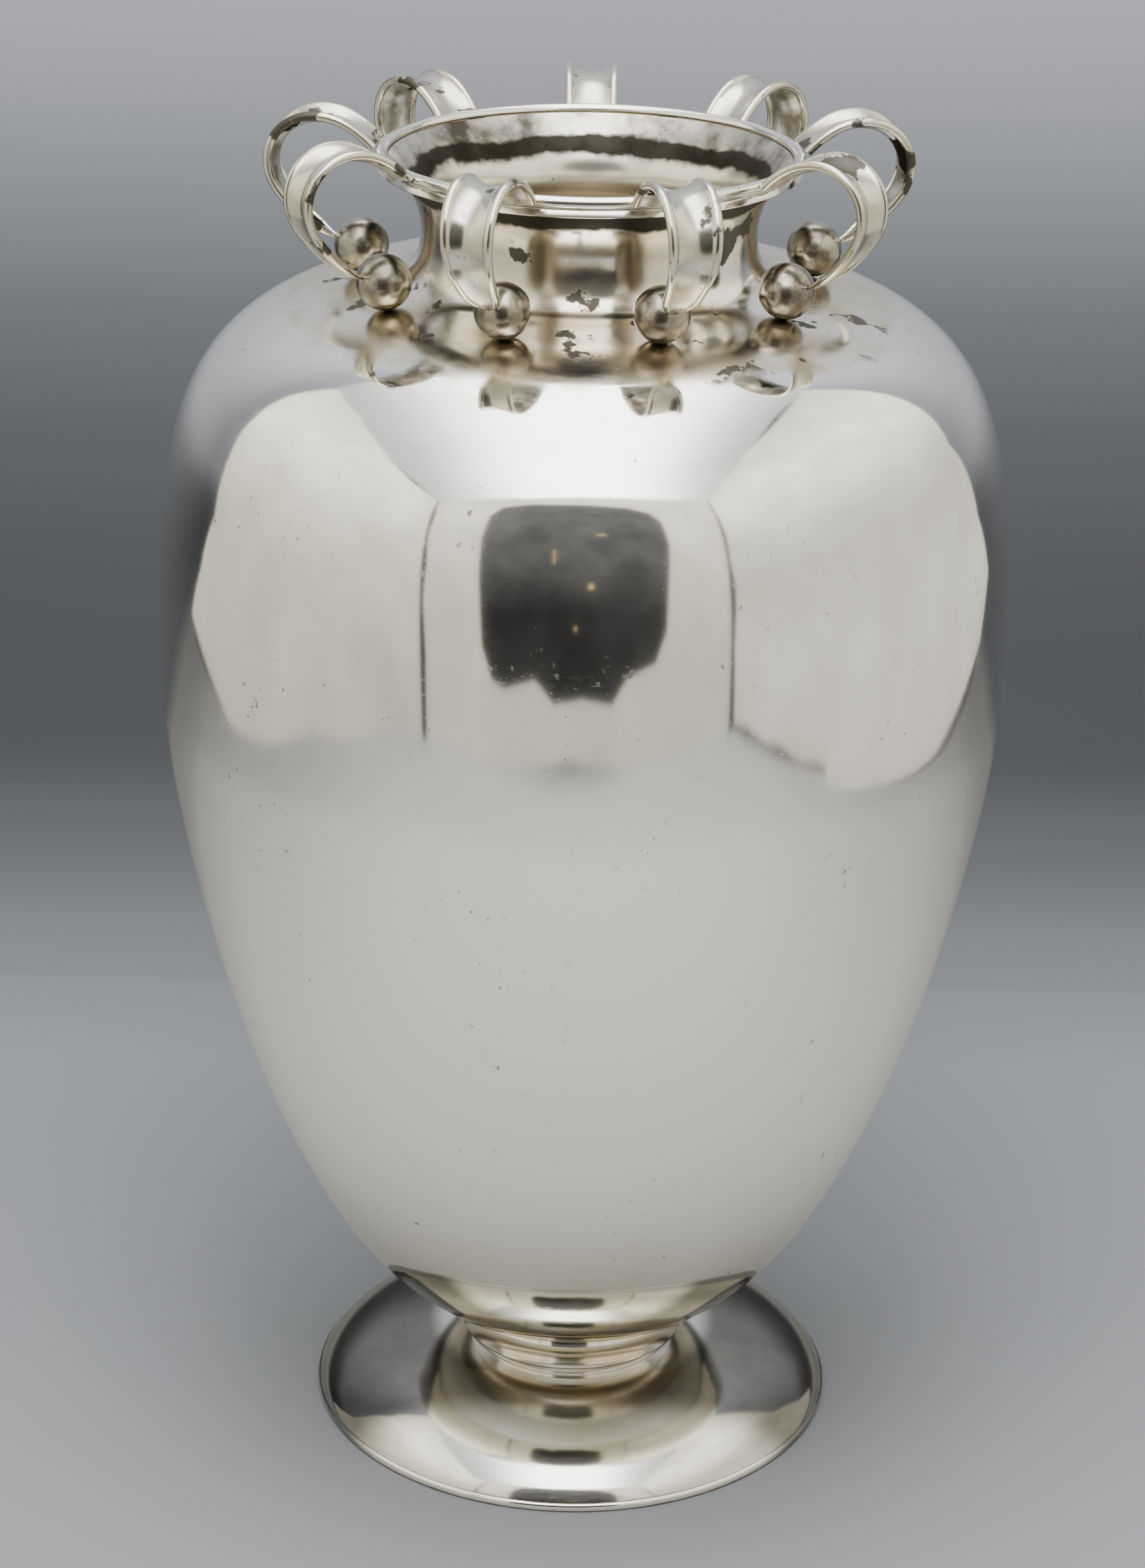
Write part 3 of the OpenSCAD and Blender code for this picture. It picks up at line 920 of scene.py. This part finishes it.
class VASE_OT_foot(bpy.types.Operator):
    """Build the stem, the domed foot and the wire round its edge"""
    bl_idname = "vase.foot"
    bl_label = "Foot"

    def execute(self, context):
        finish, detail = context.scene.vase_finish, context.scene.vase_detail
        # The dark grey over the foot's sides and back is painted shade.
        foot_metal = silver_material(
            "Foot silver", Silver=finish.silver, Tarnish=finish.tarnish,
            Tarnish_amount=0.18, Tarnish_low=-0.1, Tarnish_high=0.40,
            Side_film=0.96, Speck_amount=0.25, Roughness=finish.polish + 0.015,
            Grain_size=45.0, Scratch_depth=0.12)
        stem_metal = silver_material(
            "Stem silver", Silver=finish.silver, Tarnish=finish.tarnish,
            Tarnish_amount=0.45, Tarnish_low=-0.1, Tarnish_high=0.40,
            Speck_amount=0.2, Roughness=finish.polish, Grain_size=90.0,
            Scratch_depth=0.10)
        steps = detail.curve_steps // 2
        for name, section, node, metal in (
                ("foot_dome", foot_section(steps), "foot", foot_metal),
                ("foot_wire", edge_wire_section(EDGE_WIRE_STEPS), "foot_edge_wire", foot_metal),
                ("waisted_stem", stem_section(steps), "stem", stem_metal)):
            piece = add_object(name, turned_mesh(name, section, detail.round_steps), metal)
            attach(piece, "root")
            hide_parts(node)
        return {"FINISHED"}


class VASE_OT_straps(bpy.types.Operator):
    """Build the scroll straps round the neck"""
    bl_idname = "vase.straps"
    bl_label = "Scroll straps"

    def execute(self, context):
        finish, detail = context.scene.vase_finish, context.scene.vase_detail
        metal = silver_material(
            "Strap silver", Silver=(0.72, 0.70, 0.64, 1), Tarnish=(0.56, 0.50, 0.38, 1),
            Tarnish_amount=0.75, Blotch_amount=0.9, Speck_amount=1.0,
            Roughness=finish.polish + 0.08, Grain_size=110.0, Scratch_depth=0.3)
        under = silver_material(
            "Strap underside", Silver=finish.silver, Tarnish=(0.20, 0.17, 0.12, 1),
            Tarnish_amount=0.9, Blotch_amount=1.0, Speck_amount=1.0,
            Roughness=finish.polish + 0.16, Film_roughness=0.25, Grain_size=130.0,
            Scratch_depth=0.4)
        pattern = strap_mesh(detail.strap_steps)
        half = STRAP_RING // 2
        under_faces = [i * STRAP_RING + j for i in range(detail.strap_steps)
                       for j in range(half, half + STRAP_FACE_STEPS)]
        for n in range(STRAP_COUNT):
            strap = place_round("strap_%d" % (n + 1), pattern, ring_angle(n), metal,
                                under, under_faces)
            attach(strap, "root")
            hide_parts("scroll_strap_%d" % (n + 1))
        bpy.data.meshes.remove(pattern)
        return {"FINISHED"}


class VASE_OT_balls(bpy.types.Operator):
    """Build the balls that the straps rest on"""
    bl_idname = "vase.balls"
    bl_label = "Balls"

    def execute(self, context):
        finish = context.scene.vase_finish
        metal = silver_material(
            "Ball silver", Silver=(0.50, 0.46, 0.38, 1), Tarnish=(0.13, 0.11, 0.085, 1),
            Tarnish_amount=1.0, Speck_amount=1.0, Roughness=finish.polish + 0.11,
            Film_roughness=0.14, Grain_size=130.0, Scratch_depth=0.3)
        pattern = ball_mesh()
        for n in range(STRAP_COUNT):
            ball = place_round("ball_%d" % (n + 1), pattern, ring_angle(n), metal)
            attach(ball, "root")
            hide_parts("scroll_ball_%d" % (n + 1))
        bpy.data.meshes.remove(pattern)
        return {"FINISHED"}


# Studio, in metres, and the camera's turns about X, Y and Z, in degrees

CAMERA_PLACE = (0, -0.88977, 0.54436)
CAMERA_ANGLES = (67.5452, -0.8186, 0.4678)
LENS_MM = 85.08
FRONT_LEFT_FOOT = (-.453, -.571, 0)
FRONT_LEFT_TOP = (-.487, -.57, .656)
FRONT_RIGHT_FOOT = (.461, -.618, 0)
FRONT_RIGHT_TOP = (.434, -.62, .732)
FRONT_MID_FOOT = (-.03, -.70, 0)
FRONT_MID_TOP = (-.023, -.72, .826)
LEFT_BEND_TOP = (-.60, -.277, .834)
LEFT_REAR_FOOT = (-.614, .12, 0)
LEFT_REAR_TOP = (-.60, .064, .969)
LEFT_BACK_TOP = (-.60, .407, 1.028)
RIGHT_BEND_TOP = (.55, -.258, 1.077)
RIGHT_REAR_FOOT = (.577, -.124, 0)
RIGHT_REAR_TOP = (.56, .0, 1.14)


def panel(name, corners, material):
    """One flat panel of the tent, hidden from the camera itself."""
    obj = linked(name, new_mesh(name, corners, [tuple(range(len(corners)))]))
    obj.data.materials.append(material)
    obj.visible_camera = False
    return obj


def strips(name, low, high, material):
    """Panels between two lines of points."""
    for i in range(len(low) - 1):
        panel("%s_%d" % (name, i + 1), [low[i], low[i + 1], high[i + 1], high[i]],
              material)


class VASE_OT_stage(bpy.types.Operator):
    """Set up the paper sweep, the light tent, its window and the camera"""
    bl_idname = "vase.stage"
    bl_label = "Stage"

    def execute(self, context):
        tent = context.scene.vase_tent
        self.add_walls(tent)
        self.add_front(tent)
        self.add_lamp()
        self.add_window()
        self.add_ceiling(tent)
        self.add_seams()
        self.add_sweep()
        self.add_world(context)
        self.add_camera(context)
        return {"FINISHED"}

    def add_walls(self, tent):
        """Cloth to the left and the right, cut away in curves towards the back."""
        left = cloth_material("Tent left wall", tuple(tent.left), "Z", (
            (0.0, 0.58), (0.1, 0.63), (0.2, 0.71), (0.3, 0.82), (0.4, 1.03),
            (0.5, 1.33), (0.6, 1.55), (0.75, 1.60), (0.9, 1.4), (1.1, 1.3)))
        right = cloth_material("Tent right wall", tuple(tent.right), "Z", (
            (0.0, 0.69), (0.1, 0.78), (0.2, 0.74), (0.3, 0.72), (0.4, 0.87), (0.5, 1.2),
            (0.6, 1.48), (0.75, 1.62), (0.9, 1.4), (1.1, 1.2)))
        strips("tent_left",
               [FRONT_LEFT_FOOT, (-.53, -.476, 0), (-.63, -.228, 0), LEFT_REAR_FOOT],
               [FRONT_LEFT_TOP, (-.54, -.44, .72), LEFT_BEND_TOP, LEFT_REAR_TOP], left)
        strips("tent_right",
               [FRONT_RIGHT_FOOT, (.496, -.498, 0), (.554, -.264, 0), RIGHT_REAR_FOOT],
               [FRONT_RIGHT_TOP, (.49, -.45, .90), RIGHT_BEND_TOP, RIGHT_REAR_TOP], right)
        panel("tent_left_rear", [LEFT_REAR_FOOT, (-.62, .37, .02), (-.62, .28, .09),
                                 (-.62, .20, .19), (-.62, .20, .34), (-.62, .24, .54),
                                 (-.62, .34, .81), LEFT_BACK_TOP, LEFT_REAR_TOP], left)
        panel("tent_right_rear", [RIGHT_REAR_FOOT, (.55, .50, .02), (.55, .34, .16),
                                  (.55, .26, .36), (.55, .33, .61), (.55, .43, .91),
                                  (.55, .53, 1.217), RIGHT_REAR_TOP], right)

    def add_front(self, tent):
        """Cloth on the camera's side, in two leaves that meet at the middle."""
        cloth = cloth_material("Tent front wall", tuple(tent.front), "Z", (
            (0.0, 0.60), (0.1, 0.63), (0.2, 0.69), (0.3, 0.78), (0.4, 0.95),
            (0.5, 1.1), (0.6, 1.2), (0.7, 1.2), (0.8, 1.3)))
        panel("tent_front_left", [FRONT_LEFT_FOOT, FRONT_LEFT_TOP, FRONT_MID_TOP,
                                  FRONT_MID_FOOT], cloth)
        panel("tent_front_right", [FRONT_RIGHT_FOOT, FRONT_RIGHT_TOP, FRONT_MID_TOP,
                                   FRONT_MID_FOOT], cloth)

    def add_lamp(self):
        """A soft lamp overhead that lights the paper and is not mirrored."""
        lamp = glow_material("Soft lamp", (1.0, 1.0, 1.0), LAMP_STRENGTH)
        overhead = panel("tent_lamp", [(-.15, -.36, .86), (-.15, -.06, .86),
                                       (.15, -.06, .86), (.15, -.36, .86)], lamp)
        overhead.visible_glossy = False

    def add_window(self):
        """Dark opening in the tent's front, with torn edges and lamps beyond."""
        dark = cloth_material("Room beyond", (1.0, 1.0, 0.97), "Z", (
            (0.05, 0.026), (0.22, 0.034), (0.33, 0.085), (0.45, 0.135), (0.6, 0.16),
            (0.7, 0.18)), crumple=0.3, scale=9.0)
        glow = glow_material("Lamp beyond", (1.0, 0.72, 0.35), 1.0)
        edge = [(-.235, .100), (-.265, .15), (-.28, .30), (-.288, .45), (-.28, .57),
                (-.245, .635), (-.15, .665), (.0, .675), (.13, .665), (.205, .63),
                (.238, .57), (.252, .45), (.24, .30), (.232, .18), (.20, .125),
                (.12, .110), (.08, .078), (.0, .088), (-.07, .082), (-.12, .110),
                (-.2, .092)]
        left_x, left_y, lamp_y = -.33, -.596, -.585
        width, slant = .58, .05
        panel("tent_window",
              [(x, left_y - slant * (x - left_x) / width, z) for x, z in edge], dark)
        for name, x, z, w, h in (("lamp_far", .03, .47, .026, .007),
                                 ("lamp_near", .012, .29, .012, .014),
                                 ("lamp_tall", -.075, .36, .004, .05),
                                 ("lamp_low", -.02, .20, .006, .006)):
            panel(name, [(x, lamp_y, z), (x + w, lamp_y, z), (x + w, lamp_y, z + h),
                         (x, lamp_y, z + h)], glow)

    def add_ceiling(self, tent):
        """Two slopes of bright cloth, brightest along the middle."""
        cloth = cloth_material("Tent ceiling", (1.0, 1.0, 1.0), "X", (
            (0.0, 5.0), (0.16, 4.6), (0.26, 3.0), (0.36, 1.6), (0.44, 1.1),
            (0.50, 0.9), (0.56, 0.80)), gain=tent.ceiling, crumple=0.04,
            scattered=0.62)
        left = [FRONT_LEFT_TOP, LEFT_BEND_TOP, LEFT_REAR_TOP, LEFT_BACK_TOP]
        mid = [FRONT_MID_TOP, (-.02, -.27, 1.0), (-.02, .12, 1.1), (-.02, .55, 1.13)]
        right = [FRONT_RIGHT_TOP, RIGHT_BEND_TOP, (.55, .168, 1.205),
                 (.55, .585, 1.217)]
        strips("tent_ceiling_left", left, mid, cloth)
        strips("tent_ceiling_right", mid, right, cloth)

    def add_seams(self):
        """Dark seams of uneven width, up the front corners and along the right foot."""
        seam = glow_material("Tent seams", (0.02, 0.02, 0.018), 1.0)
        for name, foot, top, across, rise, widths in (
                ("seam_left", (-.455, -.562, 0), (-.487, -.562, .656), 1, 0,
                 (.020, .026, .016, .024, .014, .020, .010)),
                ("seam_right", (.440, -.606, 0), (.418, -.608, .732), 1, 0,
                 (.024, .016, .026, .014, .018, .012, .008)),
                ("edge_right", (.445, -.608, .006), (.560, -.25, .004), 0, 1,
                 (.004, .009, .005, .008, .004, .006, .002))):
            count = len(widths) - 1
            line = [tuple(f + (t - f) * i / count for f, t in zip(foot, top))
                    for i in range(count + 1)]
            other = [(x + w * across, y, z + w * rise)
                     for (x, y, z), w in zip(line, widths)]
            strips(name, line, other, seam)

    def add_sweep(self):
        """Paper that covers the table and rises behind the vase, and a floor."""
        reach = 3.0
        bend_y, bend_r, bend_steps = 0.30, 0.25, 24
        floor_y, floor_drop = 0.2, 0.0008
        line = [(-reach, 0.0)]
        for i in range(bend_steps + 1):
            a = math.pi / 2 * i / bend_steps
            line.append((bend_y + bend_r * math.sin(a), bend_r - bend_r * math.cos(a)))
        line.append((bend_y + bend_r, reach))
        verts = []
        for y, z in line:
            verts += [(-reach, y, z), (reach, y, z)]
        faces = [(2 * i, 2 * i + 1, 2 * i + 3, 2 * i + 2) for i in range(len(line) - 1)]
        floor = [(-reach, floor_y, 0), (reach, floor_y, 0), (reach, reach, 0),
                 (-reach, reach, 0)]
        paper = paper_material()
        for name, points, corners, drop in (
                ("paper_sweep", verts, faces, 0.0),
                ("paper_floor", floor, [(0, 1, 2, 3)], floor_drop)):
            mesh = new_mesh(name, [(x, y, z - drop) for x, y, z in points], corners)
            for face in mesh.polygons:
                face.use_smooth = True
            mesh.materials.append(paper)
            linked(name, mesh)

    def add_world(self, context):
        """A dim, even room that the camera sees as pale grey."""
        world = bpy.data.worlds.new("Room")
        context.scene.world = world
        world.use_nodes = True
        nodes, links = world.node_tree.nodes, world.node_tree.links
        room = nodes["Background"]
        room.inputs["Color"].default_value = (0.10, 0.10, 0.105, 1)
        pale = nodes.new("ShaderNodeBackground")
        pale.inputs["Color"].default_value = (0.42, 0.43, 0.45, 1)
        ray = nodes.new("ShaderNodeLightPath")
        mix = nodes.new("ShaderNodeMixShader")
        links.new(ray.outputs["Is Camera Ray"], mix.inputs["Fac"])
        links.new(room.outputs[0], mix.inputs[1])
        links.new(pale.outputs[0], mix.inputs[2])
        links.new(mix.outputs[0], nodes["World Output"].inputs["Surface"])

    def add_camera(self, context):
        """The photograph's viewpoint and lens."""
        lens = bpy.data.cameras.new("Camera")
        lens.sensor_fit = "VERTICAL"
        lens.sensor_height = 36.0
        lens.sensor_width = 36.0
        lens.lens = LENS_MM
        lens.clip_start = 0.01
        lens.clip_end = 50.0
        camera = linked("Camera", lens)
        turn = Euler([math.radians(angle) for angle in CAMERA_ANGLES]).to_matrix()
        camera.matrix_world = Matrix.Translation(CAMERA_PLACE) @ turn.to_4x4()
        context.scene.camera = camera


class VASE_PT_panel(bpy.types.Panel):
    """Lists the vase's pieces and settings"""
    bl_idname = "VASE_PT_panel"
    bl_label = "Silver vase"
    bl_space_type = "VIEW_3D"
    bl_region_type = "UI"
    bl_category = "Vase"

    def draw(self, context):
        layout = self.layout
        for operator in PIECES:
            layout.operator(operator)
        for group, labels in (("vase_finish", ("silver", "tarnish", "polish")),
                              ("vase_detail", ("round_steps", "curve_steps",
                                               "strap_steps")),
                              ("vase_tent", ("left", "front", "right", "ceiling"))):
            for label in labels:
                layout.prop(getattr(context.scene, group), label)


PIECES = ("vase.body", "vase.rim", "vase.foot", "vase.straps", "vase.balls",
          "vase.stage")
CLASSES = (VaseFinish, VaseDetail, VaseTent, VASE_OT_body, VASE_OT_rim, VASE_OT_foot,
           VASE_OT_straps, VASE_OT_balls, VASE_OT_stage, VASE_PT_panel)


def register():
    for cls in CLASSES:
        bpy.utils.register_class(cls)
    bpy.types.Scene.vase_finish = PointerProperty(type=VaseFinish)
    bpy.types.Scene.vase_detail = PointerProperty(type=VaseDetail)
    bpy.types.Scene.vase_tent = PointerProperty(type=VaseTent)


def unregister():
    del bpy.types.Scene.vase_tent
    del bpy.types.Scene.vase_detail
    del bpy.types.Scene.vase_finish
    for cls in reversed(CLASSES):
        bpy.utils.unregister_class(cls)


def main():
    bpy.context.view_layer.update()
    register()
    bpy.ops.vase.body()
    bpy.ops.vase.rim()
    bpy.ops.vase.foot()
    bpy.ops.vase.straps()
    bpy.ops.vase.balls()
    bpy.ops.vase.stage()


if __name__ == "__main__":
    main()
